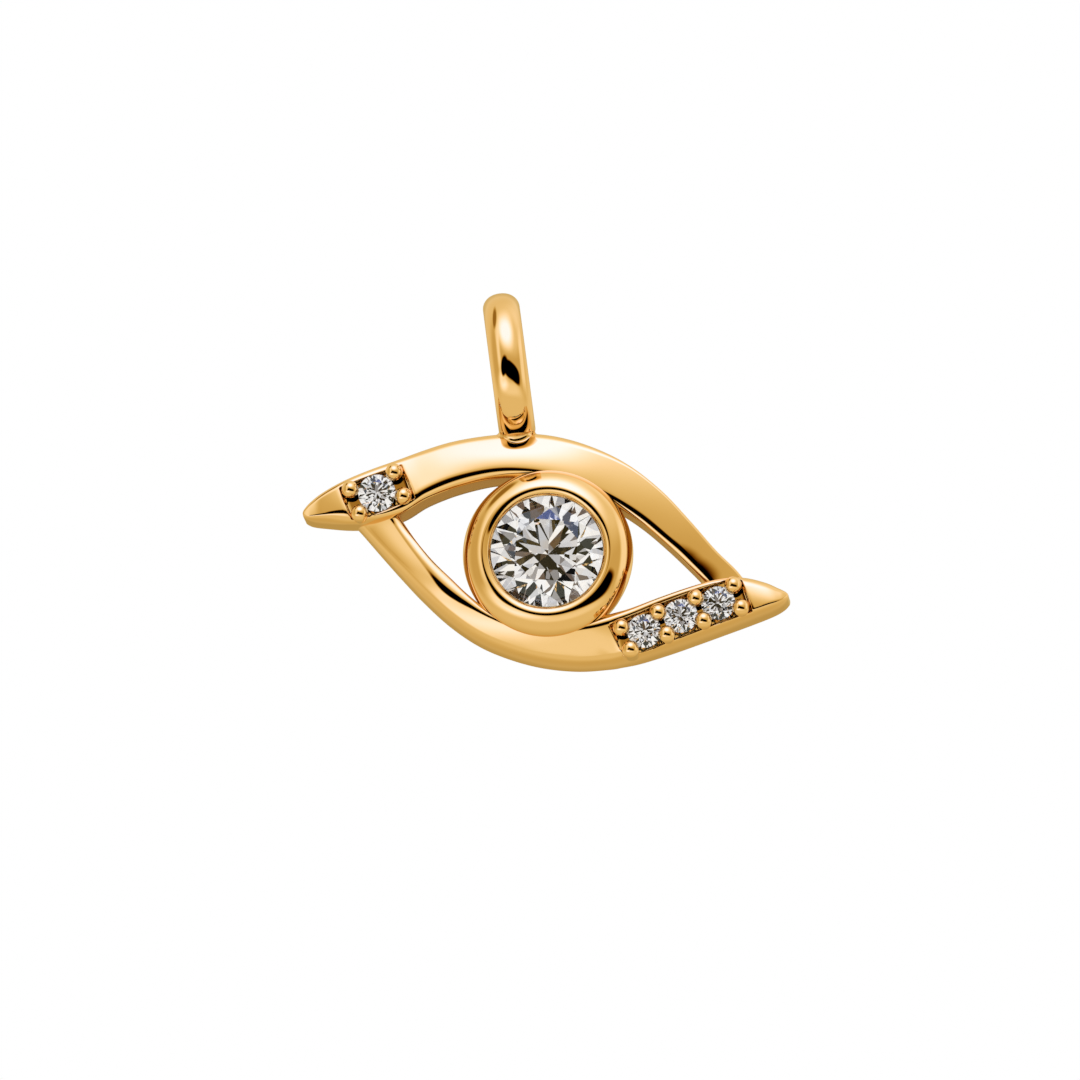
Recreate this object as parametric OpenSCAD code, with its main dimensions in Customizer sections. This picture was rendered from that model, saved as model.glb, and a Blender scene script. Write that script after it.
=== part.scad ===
// Eye charm: an almond eye of two cast metal lids, round a bezel with a brilliant in it.
// The lids cross at the corners and end in rounded tips, set with four small stones.
// A ring bail is soldered edge-on to the top of the upper lid.
// Z runs up along the bail, the face looks towards -Y, and the origin is the point inside the
// top of the bail that the charm hangs from.

/* [Lids] */
// Depth of the lids, from the flat back to the crown of the face
lid_depth = 2; // [1.8:0.05:2.2]
// How steeply the lids' faces fall towards their edges, as a share of what is drawn
lid_fall = 1; // [0.8:0.1:1.2]

/* [Bezel] */
// Radius of the bezel at its widest, level with the lids
bezel_r = 3.23; // [3.19:0.01:3.26]
// Radius of the bezel at its back
bezel_back_r = 3; // [2.85:0.05:3.1]
// How far the rim stands in front of the lids
rim_rise = 0.66; // [0.6:0.02:0.72]
// Radius of the circle along which the rim is highest
rim_crest_r = 2.42; // [2.41:0.01:2.44]
// Radius of the rim's rounding, from its crest inwards over the stone's edge
rim_nose_r = 0.3; // [0.28:0.01:0.31]
// Radius of the open hole behind the stone
back_hole_r = 1.5; // [1.2:0.1:1.8]

/* [Bail] */
// Outer radius of the ring
bail_r = 2.95; // [2.9:0.05:3.05]
// Radius of the hole through the ring
bail_bore_r = 1.8; // [1.65:0.05:1.9]
// Width of the ring's wire
bail_w = 1.4; // [1.3:0.02:1.5]
// Height of the bail's top over the centre of the eye
bail_top = 10.31; // [10.2:0.01:10.4]
// How far the centre of the eye lies to the right of the bail
eye_x = 0.58; // [0.4:0.02:0.8]

/* [Stones] */
// Diameter of the centre stone
centre_d = 4.4; // [4.36:0.01:4.42]
// Diameter of the single stone in the left corner
left_d = 1.42; // [1.36:0.02:1.46]
// Diameter of each of the three stones in the right corner
right_d = 1.28; // [1.22:0.02:1.32]
// Gap between a stone and the metal
stone_gap = 0.03; // [0.02:0.01:0.04]

/* [Bead settings] */
// Radius of the round beads that hold the small stones
bead_r = 0.32; // [0.28:0.01:0.34]
// Height of a bead's top in front of the lid's crown
bead_rise = 0.35; // [0.25:0.05:0.4]
// Half the width of the sunk channel that the beads stand in
channel_half_w = 0.73; // [0.68:0.01:0.76]
// Depth of the channel below the lid's crown
channel_depth = 0.4; // [0.3:0.05:0.5]

/* [Hidden] */
$fn = 64;

// Depths along Y in the eye: the crown of the lids is in front, the flat back behind.
crown_y = -lid_depth / 2;
back_y = lid_depth / 2;

// Heights of the bail's centre and of the centre of the eye, seen from the hanging point.
bail_z = -bail_bore_r;
eye_z = bail_r - bail_bore_r - bail_top;

// Each lid is a band through these sections, in millimetres from the centre of the eye.
// A section joins a point of the outer edge to one of the inner edge. Its edges are rounded with
// quarters of an ellipse, given as a width across the face and a depth. Where one lid passes
// behind the other's tip, and towards the tips' points, its face lies further back. The leans
// are how many degrees the face looks outwards, next to the outer rounding and the inner one.
// Columns: outer x, outer z, inner x, inner z, width and depth of the outer rounding, width and
// depth of the inner one, face set back, outer lean, inner lean
UPPER_LID = [
    [-9.03, 2.88, -9.03, 2.83, 0.02, 0.02, 0.02, 0.03, 0.34, 8, 4],
    [-8.96, 3.02, -9.00, 2.72, 0.10, 0.12, 0.10, 0.30, 0.30, 8, 4],
    [-8.70, 3.26, -8.76, 2.56, 0.20, 0.22, 0.18, 0.55, 0.21, 8, 4],
    [-8.20, 3.55, -8.20, 2.41, 0.25, 0.27, 0.30, 0.80, 0.09, 8, 4],
    [-7.30, 3.91, -7.30, 2.22, 0.27, 0.30, 0.40, 0.80, 0, 8, 4],
    [-6.25, 4.21, -6.25, 2.14, 0.27, 0.30, 0.26, 0.70, 0, 9, 4],
    [-5.15, 4.47, -5.25, 2.32, 0.32, 0.34, 0.28, 0.30, 0, 15, 9],
    [-4.15, 4.70, -4.30, 2.73, 0.42, 0.42, 0.36, 0.28, 0, 20, 14],
    [-3.00, 4.88, -3.10, 3.02, 0.45, 0.45, 0.40, 0.30, 0, 23, 9],
    [-1.60, 4.92, -1.75, 3.15, 0.48, 0.48, 0.38, 0.30, 0, 26, 4],
    [-0.30, 4.81, -0.55, 3.05, 0.48, 0.48, 0.34, 0.28, 0, 23, 3],
    [1.00, 4.46, 0.65, 2.72, 0.46, 0.46, 0.32, 0.28, 0, 15, 3],
    [2.32, 3.80, 1.75, 2.18, 0.45, 0.45, 0.30, 0.28, 0, 9, 3],
    [3.51, 2.93, 2.75, 1.50, 0.45, 0.45, 0.28, 0.26, 0, 7, 3],
    [4.60, 1.78, 3.65, 0.70, 0.45, 0.45, 0.28, 0.26, 0.02, 6, 2],
    [5.50, 0.52, 4.45, -0.20, 0.40, 0.40, 0.28, 0.26, 0.08, 6, 2],
    [6.30, -0.69, 5.15, -1.08, 0.35, 0.35, 0.28, 0.26, 0.20, 6, 2],
    [6.95, -1.52, 5.75, -1.90, 0.30, 0.30, 0.25, 0.25, 0.30, 6, 2],
    [7.30, -2.10, 6.15, -2.50, 0.30, 0.30, 0.25, 0.25, 0.35, 6, 2]
];
LOWER_LID = [
    [-7.36, 2.55, -5.55, 2.60, 0.45, 1.00, 0.28, 0.22, 0.35, 28, 18],
    [-6.98, 2.03, -5.25, 1.95, 0.45, 1.00, 0.30, 0.22, 0.35, 28, 18],
    [-6.36, 1.08, -4.85, 1.15, 0.45, 1.10, 0.32, 0.20, 0.25, 28, 18],
    [-5.72, 0.12, -4.35, 0.35, 0.50, 1.20, 0.32, 0.20, 0.12, 28, 19],
    [-4.98, -0.92, -3.76, -0.42, 0.50, 1.25, 0.32, 0.20, 0.04, 28, 20],
    [-4.10, -1.98, -3.12, -1.22, 0.50, 1.30, 0.32, 0.20, 0, 28, 20],
    [-3.10, -2.88, -2.35, -1.95, 0.50, 1.30, 0.32, 0.20, 0, 28, 20],
    [-2.00, -3.54, -1.40, -2.40, 0.50, 1.30, 0.32, 0.22, 0, 28, 20],
    [-0.80, -4.04, -0.30, -2.65, 0.50, 1.30, 0.34, 0.26, 0, 28, 20],
    [0.50, -4.35, 0.75, -2.70, 0.48, 1.30, 0.38, 0.34, 0, 28, 20],
    [1.70, -4.44, 1.80, -2.62, 0.42, 1.30, 0.42, 0.42, 0, 23, 13],
    [2.90, -4.38, 2.85, -2.50, 0.35, 1.30, 0.20, 0.20, 0, 9, 3],
    [4.10, -4.18, 3.95, -2.25, 0.32, 1.30, 0.16, 0.16, 0, 8, 2],
    [5.30, -3.93, 5.15, -2.01, 0.32, 1.30, 0.16, 0.16, 0, 8, 2],
    [6.40, -3.69, 6.20, -1.87, 0.30, 1.20, 0.18, 0.18, 0, 6, 0],
    [7.30, -3.49, 7.15, -1.88, 0.26, 1.10, 0.40, 0.40, 0.02, 3, -8],
    [8.10, -3.29, 7.95, -2.15, 0.24, 1.00, 0.42, 0.45, 0.10, 0, -12],
    [8.53, -3.12, 8.45, -2.44, 0.18, 0.80, 0.28, 0.40, 0.24, -2, -14],
    [8.75, -2.94, 8.71, -2.62, 0.12, 0.40, 0.13, 0.25, 0.38, -2, -12],
    [8.80, -2.80, 8.80, -2.75, 0.02, 0.03, 0.02, 0.02, 0.46, -2, -12]
];
OUT_X = 0;
OUT_Z = 1;
IN_X = 2;
IN_Z = 3;
OUT_WIDE = 4;
OUT_DEEP = 5;
IN_WIDE = 6;
IN_DEEP = 7;
SET_BACK = 8;
OUT_LEAN = 9;
IN_LEAN = 10;
// Sections made between two rows, steps in each rounding, and steps across the face.
lid_steps = 3;
round_steps = 5;
face_steps = 4;
// A rounding is never wider than this share of the lid.
round_share = 0.42;

// Outside its nose the rim falls away in two arcs. These are how steep it is where the first
// arc starts and ends, the first arc's radius, and how steep it is where the second one ends.
shoulder_start = 20;
shoulder_end = 41;
shoulder_r = 1.15;
flank_end = 90;
// Degrees between two corners of the rim's section.
rim_step = 10;

// Chamfer at the edges of the bail's hole.
bail_chamfer = 0.1;
// Solder in the corners between the bail and the lid: its radius, how much deeper than that
// its hollow is cut, and how far it reaches in front of the eye's middle and behind it.
solder_r = 0.2;
solder_bite = 0.02;
solder_front = 0.5;
solder_back = 0.85;

// Centres of the small stones, in millimetres from the centre of the eye.
// Columns: x, z
LEFT_ROW = [[-6.12, 3.20]];
RIGHT_ROW = [[3.24, -3.46], [4.68, -3.08], [6.15, -2.79]];
// Direction of the left row, and distance between its two pairs of beads.
left_row_angle = 14;
left_bead_pitch = 1.78;
// Distance of a bead from the middle line of its row.
left_bead_offset = 0.49;
right_bead_offset = 0.45;
// Metal left free between the last beads and the end of the channel.
channel_end = 0.06;
// Depth of the seat under a small stone, and its radius as a share of the stone's.
seat_depth = 0.35;
seat_share = 0.62;

// Proportions of a round brilliant, as shares of its diameter, and its number of main facets.
table_share = 0.57;
crown_share = 0.15;
girdle_share = 0.03;
pavilion_share = 0.43;
star_share = 0.37;
lower_half_share = 0.12;
mains = 8;
// Depth of the girdle's front edge in the bezel and in the bead settings.
centre_girdle_y = crown_y - 0.13;
accent_girdle_y = crown_y + 0.04;

// One row of a table at t between rows i and i + 1, on a smooth curve through all rows.
function between(rows, i, t) =
    let (
        last = len(rows) - 1,
        a = rows[max(i - 1, 0)],
        b = rows[i],
        c = rows[min(i + 1, last)],
        d = rows[min(i + 2, last)]
    )
    0.5 * (2 * b + (c - a) * t + (2 * a - 5 * b + 4 * c - d) * t * t
        + (3 * b - 3 * c + d - a) * t * t * t);

function smooth_rows(rows, steps) = [
    for (i = [0 : len(rows) - 2]) for (k = [0 : steps - 1]) between(rows, i, k / steps),
    rows[len(rows) - 1]
];

// Corners of a quarter ellipse as [way in from the edge, depth below its front], from one angle
// to another. At 90 degrees it has reached the lid's side, and at 0 it looks straight forward.
function edge_arc(wide, deep, from, to) =
    [for (k = [0 : round_steps]) let (a = from + (to - from) * k / round_steps)
        [wide * (1 - sin(a)), deep * (1 - cos(a))]];

// The angle on such an edge where it leans by some degrees.
function edge_angle(wide, deep, lean) = atan(tan(lean) * wide / deep);

// Closed outline of one section as [across, y], from the outer back corner round the face to
// the inner back corner. The face's slope changes evenly from one rounding to the other, and
// its front-most point is at the crown, less what the face is set back.
function lid_outline(w, outer_wide, outer_deep, inner_wide, inner_deep, set_back, outer_lean,
                     inner_lean) =
    let (
        outer_w = min(outer_wide, round_share * w),
        inner_w = min(inner_wide, round_share * w),
        outer_arc = edge_arc(outer_w, outer_deep, 90, edge_angle(outer_w, outer_deep, outer_lean)),
        inner_arc = edge_arc(inner_w, inner_deep, edge_angle(inner_w, inner_deep, -inner_lean), 90),
        face_start = outer_arc[round_steps],
        face_end = inner_arc[0],
        face_w = w - face_end[0] - face_start[0],
        first = tan(outer_lean),
        change = tan(inner_lean) - first,
        face = [for (k = [0 : face_steps]) let (u = k / face_steps)
            [face_start[0] + face_w * u,
             face_start[1] - face_w * (first * u + change * u * u / 2)]],
        drop = face[face_steps][1] - face_end[1],
        front = concat(
            [for (k = [0 : round_steps - 1]) outer_arc[k]],
            face,
            [for (k = [1 : round_steps]) [w - inner_arc[k][0], inner_arc[k][1] + drop]]
        ),
        shift = crown_y + set_back - min([for (p = front) p[1]])
    )
    concat([[0, back_y]], [for (p = front) [p[0], p[1] + shift]], [[w, back_y]]);

function lid_section(row) =
    let (
        outer = [row[OUT_X], row[OUT_Z]],
        inner = [row[IN_X], row[IN_Z]],
        w = norm(inner - outer),
        across = (inner - outer) / w
    )
    [for (p = lid_outline(w, row[OUT_WIDE], row[OUT_DEEP], row[IN_WIDE], row[IN_DEEP],
                          row[SET_BACK], lid_fall * row[OUT_LEAN], lid_fall * row[IN_LEAN]))
        [outer[0] + across[0] * p[0], p[1], outer[1] + across[1] * p[0]]];

// A band through the rows, which run from left to right. The faces are listed the other way
// round where the outer edge is the upper one.
module lid(rows, outer_above) {
    sections = [for (row = smooth_rows(rows, lid_steps)) lid_section(row)];
    n = len(sections[0]);
    last = len(sections) - 1;
    sides = [
        for (i = [0 : last - 1]) for (j = [0 : n - 1])
            let (a = i * n + j, b = i * n + (j + 1) % n)
            each [[a, b, b + n], [a, b + n, a + n]]
    ];
    caps = [[for (j = [n - 1 : -1 : 0]) j], [for (j = [0 : n - 1]) last * n + j]];
    faces = concat(sides, caps);
    polyhedron(
        points = [for (s = sections) each s],
        faces = [for (f = faces) outer_above ? [for (k = [len(f) - 1 : -1 : 0]) f[k]] : f]
    );
}

// Turns a shape drawn in X and Y, or revolved round Z, so that its front looks towards -Y.
module face_front() {
    rotate([90, 0, 0]) children();
}

// Moves a child that has its front towards +Z to a place in the eye, with depth y.
module in_eye(place, y) {
    translate([place[0], y, place[1]]) face_front() children();
}

// The hollow that a round stone lies in, gap wider than the stone all round.
module stone_room(d) {
    rotate_extrude() polygon([
        [0, crown_share * d + stone_gap],
        [table_share * d / 2 + stone_gap, crown_share * d + stone_gap],
        [d / 2 + stone_gap, stone_gap],
        [d / 2 + stone_gap, -girdle_share * d - stone_gap],
        [0, -(girdle_share + pavilion_share) * d - 2 * stone_gap]
    ]);
}

// A round brilliant with its table towards +Z and the girdle's front edge at height 0.
module brilliant(d) {
    r = d / 2;
    half = 180 / mains;
    table_r = table_share * r;
    star_r = (table_share + star_share * (1 - table_share)) * r;
    low_r = lower_half_share * d;
    crown_h = crown_share * d;
    girdle_h = girdle_share * d;
    pavilion_h = pavilion_share * d;
    star_h = crown_h * (1 - (star_r * cos(half) - table_r) / (r - table_r));
    low_h = -girdle_h - pavilion_h * (1 - low_r * cos(half) / r);

    ring = [for (i = [0 : mains - 1]) 2 * half * i];
    table = [for (a = ring) [table_r * cos(a), table_r * sin(a), crown_h]];
    stars = [for (a = ring) [star_r * cos(a + half), star_r * sin(a + half), star_h]];
    top = [for (i = [0 : 2 * mains - 1]) [r * cos(half * i), r * sin(half * i), 0]];
    bottom = [for (p = top) [p[0], p[1], -girdle_h]];
    low = [for (a = ring) [low_r * cos(a + half), low_r * sin(a + half), low_h]];
    culet = [[0, 0, -girdle_h - pavilion_h]];

    // Where each of these rings of corners starts in the list of points.
    s = mains;
    g = s + mains;
    b = g + 2 * mains;
    l = b + 2 * mains;
    c = l + mains;
    facets = [
        [for (i = [mains - 1 : -1 : 0]) i],
        for (i = [0 : mains - 1])
            let (next = (i + 1) % mains, before = (i + mains - 1) % mains, k = 2 * i)
            each [
                [i, next, s + i],
                [i, s + i, g + k],
                [i, g + k, s + before],
                [s + i, g + k + 1, g + k],
                [s + i, g + (k + 2) % (2 * mains), g + k + 1],
                [l + i, b + k, b + k + 1],
                [l + i, b + k + 1, b + (k + 2) % (2 * mains)],
                [c, b + k, l + i],
                [c, l + before, b + k]
            ],
        for (i = [0 : 2 * mains - 1]) let (j = (i + 1) % (2 * mains))
            each [[g + i, g + j, b + j], [g + i, b + j, b + i]]
    ];
    polyhedron(points = concat(table, stars, top, bottom, low, culet), faces = facets);
}

// Corners of an arc as [radius, height], from one steepness to another.
function rim_arc(centre, r, from, to) =
    let (steps = ceil((to - from) / rim_step))
    [for (k = [0 : steps]) let (a = from + (to - from) * k / steps)
        centre + r * [sin(a), cos(a)]];

// The cup round the centre stone, before the stone's room is cut. In front it has a round nose
// over the stone's edge, and outside that a rim that falls away to the cup's widest part.
module bezel_blank() {
    nose = [rim_crest_r, rim_rise - crown_y - rim_nose_r];
    shoulder = nose + (rim_nose_r - shoulder_r) * [sin(shoulder_start), cos(shoulder_start)];
    turn = [sin(shoulder_end), cos(shoulder_end)];
    flank_r = (bezel_r - shoulder[0] - shoulder_r * turn[0]) / (1 - turn[0]);
    flank = shoulder + (shoulder_r - flank_r) * turn;
    face_front() rotate_extrude() polygon(concat(
        [[back_hole_r, 0]],
        rim_arc(nose, rim_nose_r, -90, shoulder_start),
        rim_arc(shoulder, shoulder_r, shoulder_start, shoulder_end),
        rim_arc(flank, flank_r, shoulder_end, flank_end),
        [[bezel_back_r, -back_y], [back_hole_r, -back_y]]
    ));
}

// A wire bent to a ring, round outwards and flat at the sides and towards the hole.
module bail() {
    crown = bail_w / 2;
    translate([0, 0, bail_z]) rotate([0, 90, 0]) rotate_extrude() {
        intersection() {
            translate([bail_r - crown, 0]) circle(crown);
            translate([bail_r - crown, -crown]) square([crown, bail_w]);
        }
        polygon([
            [bail_bore_r, bail_chamfer - crown],
            [bail_bore_r + bail_chamfer, -crown],
            [bail_r - crown, -crown],
            [bail_r - crown, crown],
            [bail_bore_r + bail_chamfer, crown],
            [bail_bore_r, crown - bail_chamfer]
        ]);
    }
}

// Hollow fillets where the sides of the bail meet the top of the upper lid.
module bail_solder() {
    lid_edge = [for (row = UPPER_LID) [row[OUT_X], row[OUT_Z]]];
    for (side = [-1, 1]) {
        toe_x = side * (bail_w / 2 + solder_r);
        toe_z = eye_z + lookup(toe_x - eye_x, lid_edge);
        translate([0, solder_back, 0]) face_front() linear_extrude(solder_front + solder_back)
            difference() {
                translate([min(toe_x, 0), toe_z - solder_r]) square([abs(toe_x), 2 * solder_r]);
                translate([toe_x, toe_z + solder_r]) circle(solder_r + solder_bite);
            }
    }
}

// Points between the stones of a row, and one past each end, where pairs of beads stand.
function bead_stations(row) =
    let (n = len(row))
    concat(
        [1.5 * row[0] - 0.5 * row[1]],
        [for (i = [0 : n - 2]) (row[i] + row[i + 1]) / 2],
        [1.5 * row[n - 1] - 0.5 * row[n - 2]]
    );

left_along = [cos(left_row_angle), sin(left_row_angle)];
left_stations = [
    LEFT_ROW[0] - left_along * left_bead_pitch / 2,
    LEFT_ROW[0] + left_along * left_bead_pitch / 2
];
right_stations = bead_stations(RIGHT_ROW);

// Direction of a row of beads at one of its stations, and the direction across it.
function along_at(stations, i) =
    let (
        a = stations[max(i - 1, 0)],
        b = stations[min(i + 1, len(stations) - 1)]
    )
    (b - a) / norm(b - a);

function across_at(stations, i) =
    let (t = along_at(stations, i))
    [-t[1], t[0]];

module channel(stations) {
    last = len(stations) - 1;
    reach = bead_r + channel_end;
    ends = [
        for (i = [0 : last])
            stations[i] + along_at(stations, i) * (i == 0 ? -reach : i == last ? reach : 0)
    ];
    outline = concat(
        [for (i = [0 : last]) ends[i] + across_at(stations, i) * channel_half_w],
        [for (i = [last : -1 : 0]) ends[i] - across_at(stations, i) * channel_half_w]
    );
    translate([0, crown_y + channel_depth, 0]) face_front()
        linear_extrude(channel_depth + bead_rise) polygon(outline);
}

// Pairs of posts with round tops, rooted as deep below the channel as the channel is deep.
module beads(stations, offset_across) {
    post_top = bead_rise - bead_r;
    root = 2 * channel_depth;
    for (i = [0 : len(stations) - 1]) {
        for (side = [-1, 1]) {
            in_eye(stations[i] + across_at(stations, i) * offset_across * side, crown_y) {
                translate([0, 0, -root]) cylinder(r = bead_r, h = root + post_top);
                translate([0, 0, post_top]) sphere(bead_r);
            }
        }
    }
}

// Room for each small stone, and a blind round seat below it.
module seats(row, d) {
    for (place = row) {
        in_eye(place, accent_girdle_y) stone_room(d);
        in_eye(place, crown_y + channel_depth + seat_depth)
            cylinder(r = seat_share * d / 2, h = seat_depth + stone_gap);
    }
}

module eye_frame() {
    color("goldenrod") {
        bail();
        bail_solder();
        translate([eye_x, 0, eye_z]) difference() {
            union() {
                difference() {
                    union() {
                        lid(UPPER_LID, true);
                        lid(LOWER_LID, false);
                    }
                    channel(left_stations);
                    channel(right_stations);
                }
                bezel_blank();
                beads(left_stations, left_bead_offset);
                beads(right_stations, right_bead_offset);
            }
            in_eye([0, 0], centre_girdle_y) stone_room(centre_d);
            seats(LEFT_ROW, left_d);
            seats(RIGHT_ROW, right_d);
        }
    }
}

module set_stone(place, d, y) {
    color("white") translate([eye_x, 0, eye_z]) in_eye(place, y) brilliant(d);
}

module centre_stone() {
    set_stone([0, 0], centre_d, centre_girdle_y);
}

module left_accent_stone() {
    set_stone(LEFT_ROW[0], left_d, accent_girdle_y);
}

module right_accent_stone(i) {
    set_stone(RIGHT_ROW[i], right_d, accent_girdle_y);
}

eye_frame();
centre_stone();
left_accent_stone();
right_accent_stone(0);  // right_accent_stone_1
right_accent_stone(1);  // right_accent_stone_2
right_accent_stone(2);  // right_accent_stone_3
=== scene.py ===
import math

import bmesh
import bpy
from mathutils import Matrix, Vector


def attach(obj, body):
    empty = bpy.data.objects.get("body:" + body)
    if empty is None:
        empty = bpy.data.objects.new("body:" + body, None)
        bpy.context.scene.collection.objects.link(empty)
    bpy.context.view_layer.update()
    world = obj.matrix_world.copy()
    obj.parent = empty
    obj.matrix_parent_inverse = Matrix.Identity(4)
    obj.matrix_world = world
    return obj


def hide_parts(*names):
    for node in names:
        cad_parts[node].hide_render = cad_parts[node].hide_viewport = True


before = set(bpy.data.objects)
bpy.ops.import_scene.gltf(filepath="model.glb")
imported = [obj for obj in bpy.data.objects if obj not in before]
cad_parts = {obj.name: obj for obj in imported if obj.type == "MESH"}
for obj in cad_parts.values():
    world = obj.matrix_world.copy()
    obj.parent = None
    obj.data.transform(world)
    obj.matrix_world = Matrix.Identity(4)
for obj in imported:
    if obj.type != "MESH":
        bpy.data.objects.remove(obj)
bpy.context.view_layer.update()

# The lids. The eye is cast in one with its two lids, each a band of polished yellow gold whose
# face is highest near its inner edge and falls away outwards. The upper lid runs on into the
# left tip and the lower one into the right tip, each with a sunk channel for its small stones.

MM = 0.001
EYE_CENTRE = (0.58, -9.16)
FACE_Y = -1.0
BACK_Y = 1.0
# Where a lid's face is set back, its back is sunk by this share of that, so that the backs of the
# two lids don't lie in one plane where they cross.
SINK_SHARE = 0.1
ROLL_SHARE = 0.42
BACK_CORNER = 0.1
BACK_CORNER_SHARE = 0.2
# How many degrees two faces may turn before the edge between them stays sharp.
SHARP_FROM = 38

# Sections of the lids in millimetres from the centre of the eye. The leans are how many degrees
# the face looks outwards, next to the outer roll and next to the inner one.
# Columns: outer x, outer z, inner x, inner z, width and depth of the outer rounding and of the
# inner one, face set back, outer lean, inner lean
UPPER_LID = [
    (-9.03, 2.88, -9.03, 2.83, 0.02, 0.02, 0.02, 0.03, 0.34, 8, 4),
    (-8.96, 3.02, -9.00, 2.72, 0.10, 0.12, 0.10, 0.30, 0.30, 8, 4),
    (-8.70, 3.26, -8.76, 2.56, 0.20, 0.22, 0.18, 0.55, 0.21, 8, 4),
    (-8.20, 3.55, -8.20, 2.41, 0.25, 0.27, 0.30, 0.80, 0.09, 8, 4),
    (-7.30, 3.91, -7.30, 2.22, 0.27, 0.30, 0.48, 0.50, 0, 8, 4),
    (-6.25, 4.21, -6.25, 2.14, 0.27, 0.30, 0.26, 0.70, 0, 9, 4),
    (-5.15, 4.47, -5.25, 2.32, 0.32, 0.34, 0.28, 0.30, 0, 15, 9),
    (-4.15, 4.70, -4.30, 2.73, 0.42, 0.42, 0.36, 0.28, 0, 20, 14),
    (-3.00, 4.88, -3.10, 3.02, 0.45, 0.45, 0.40, 0.30, 0, 23, 9),
    (-1.60, 4.92, -1.75, 3.15, 0.48, 0.48, 0.38, 0.30, 0, 26, 4),
    (-0.30, 4.81, -0.55, 3.05, 0.48, 0.48, 0.34, 0.28, 0, 23, 3),
    (1.00, 4.46, 0.65, 2.72, 0.46, 0.46, 0.32, 0.28, 0, 15, 3),
    (2.32, 3.80, 1.75, 2.18, 0.30, 0.30, 0.30, 0.22, 0, 9, 3),
    (3.51, 2.93, 2.75, 1.50, 0.14, 0.14, 0.30, 0.17, 0, 7, 3),
    (4.60, 1.78, 3.65, 0.70, 0.10, 0.10, 0.30, 0.15, 0.02, 6, 2),
    (5.50, 0.52, 4.45, -0.20, 0.10, 0.10, 0.28, 0.15, 0.08, 6, 2),
    (6.30, -0.69, 5.15, -1.08, 0.10, 0.10, 0.26, 0.18, 0.20, 6, 2),
    (6.95, -1.52, 5.75, -1.90, 0.10, 0.10, 0.25, 0.25, 0.30, 6, 2),
    (7.30, -2.10, 6.15, -2.50, 0.10, 0.10, 0.25, 0.25, 0.35, 6, 2),
]
LOWER_LID = [
    (-7.36, 2.55, -5.55, 2.60, 0.45, 1.00, 0.28, 0.22, 0.35, 28, 18),
    (-6.98, 2.03, -5.25, 1.95, 0.45, 1.00, 0.30, 0.22, 0.35, 28, 18),
    (-6.36, 1.08, -4.85, 1.15, 0.45, 1.10, 0.25, 0.11, 0.25, 28, 18),
    (-5.72, 0.12, -4.35, 0.35, 0.50, 1.20, 0.29, 0.15, 0.12, 28, 21),
    (-4.98, -0.92, -3.76, -0.42, 0.50, 1.25, 0.36, 0.17, 0.04, 28, 23),
    (-4.10, -1.98, -3.12, -1.22, 0.50, 1.30, 0.28, 0.14, 0, 28, 21),
    (-3.10, -2.88, -2.35, -1.95, 0.50, 1.30, 0.22, 0.14, 0, 28, 20),
    (-2.00, -3.54, -1.40, -2.40, 0.50, 1.30, 0.32, 0.22, 0, 28, 20),
    (-0.80, -4.04, -0.30, -2.65, 0.50, 1.30, 0.34, 0.26, 0, 28, 20),
    (0.50, -4.35, 0.75, -2.70, 0.48, 1.30, 0.34, 0.28, 0, 28, 20),
    (1.70, -4.44, 1.80, -2.62, 0.42, 1.30, 0.30, 0.28, 0, 28, 20),
    (2.15, -4.43, 2.15, -2.59, 0.38, 1.30, 0.26, 0.26, 0, 25, 16),
    (2.90, -4.38, 2.85, -2.50, 0.35, 1.30, 0.20, 0.20, 0, 9, 3),
    (4.10, -4.18, 3.95, -2.25, 0.32, 1.30, 0.16, 0.16, 0, 8, 2),
    (5.30, -3.93, 5.15, -2.01, 0.32, 1.30, 0.16, 0.16, 0, 8, 2),
    (6.40, -3.69, 6.20, -1.87, 0.30, 1.20, 0.18, 0.18, 0, 6, 0),
    (7.30, -3.49, 7.15, -1.88, 0.26, 1.10, 0.40, 0.40, 0.02, 3, -8),
    (8.10, -3.29, 7.95, -2.15, 0.24, 1.00, 0.42, 0.45, 0.10, 0, -12),
    (8.53, -3.12, 8.45, -2.44, 0.18, 0.80, 0.28, 0.40, 0.24, -2, -14),
    (8.75, -2.94, 8.71, -2.62, 0.12, 0.40, 0.13, 0.25, 0.38, -2, -12),
    (8.80, -2.80, 8.80, -2.75, 0.02, 0.03, 0.02, 0.02, 0.46, -2, -12),
]

# Places of the pairs of beads along each row of stones, from left to right.
LEFT_BEAD_PAIRS = [(-6.984, 2.985), (-5.256, 3.415)]
RIGHT_BEAD_PAIRS = [(2.52, -3.65), (3.96, -3.27), (5.415, -2.935), (6.885, -2.645)]
CHANNEL_HALF = 0.73
CHANNEL_FLOOR_Y = -0.6
CHANNEL_REACH = 0.38
RAIL_LEAST = 0.13

# Seats drilled under the small stones: place, and radius and depth of their cones.
SEATS = [(-6.12, 3.20, 0.74, -0.2), (3.24, -3.46, 0.67, -0.26), (4.68, -3.08, 0.67, -0.26),
         (6.15, -2.79, 0.67, -0.26)]
SEAT_RIM_Y = -0.87

# How the channel's wall goes down, from its top edge to the floor: way in, share of the depth.
WALL_STEPS = [(-0.05, 0.0), (-0.025, 0.012), (-0.008, 0.05), (0.004, 0.13), (0.02, 0.5),
              (0.034, 0.84), (0.05, 0.95), (0.075, 0.99), (0.12, 1.0)]
WALL_END = WALL_STEPS[-1][0]
FULL_WALL_WIDTH = 1.6
RULING_GAP = 0.08
OUTER_STEPS = 11
INNER_STEPS = 13

# The walls of the eye's openings, within this much of its centre, are rougher, with painted
# shade darkening their colour. They face less than this share to the front or back.
INSIDE_HALF = 5.6
INSIDE_TILT = 0.3


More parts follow.
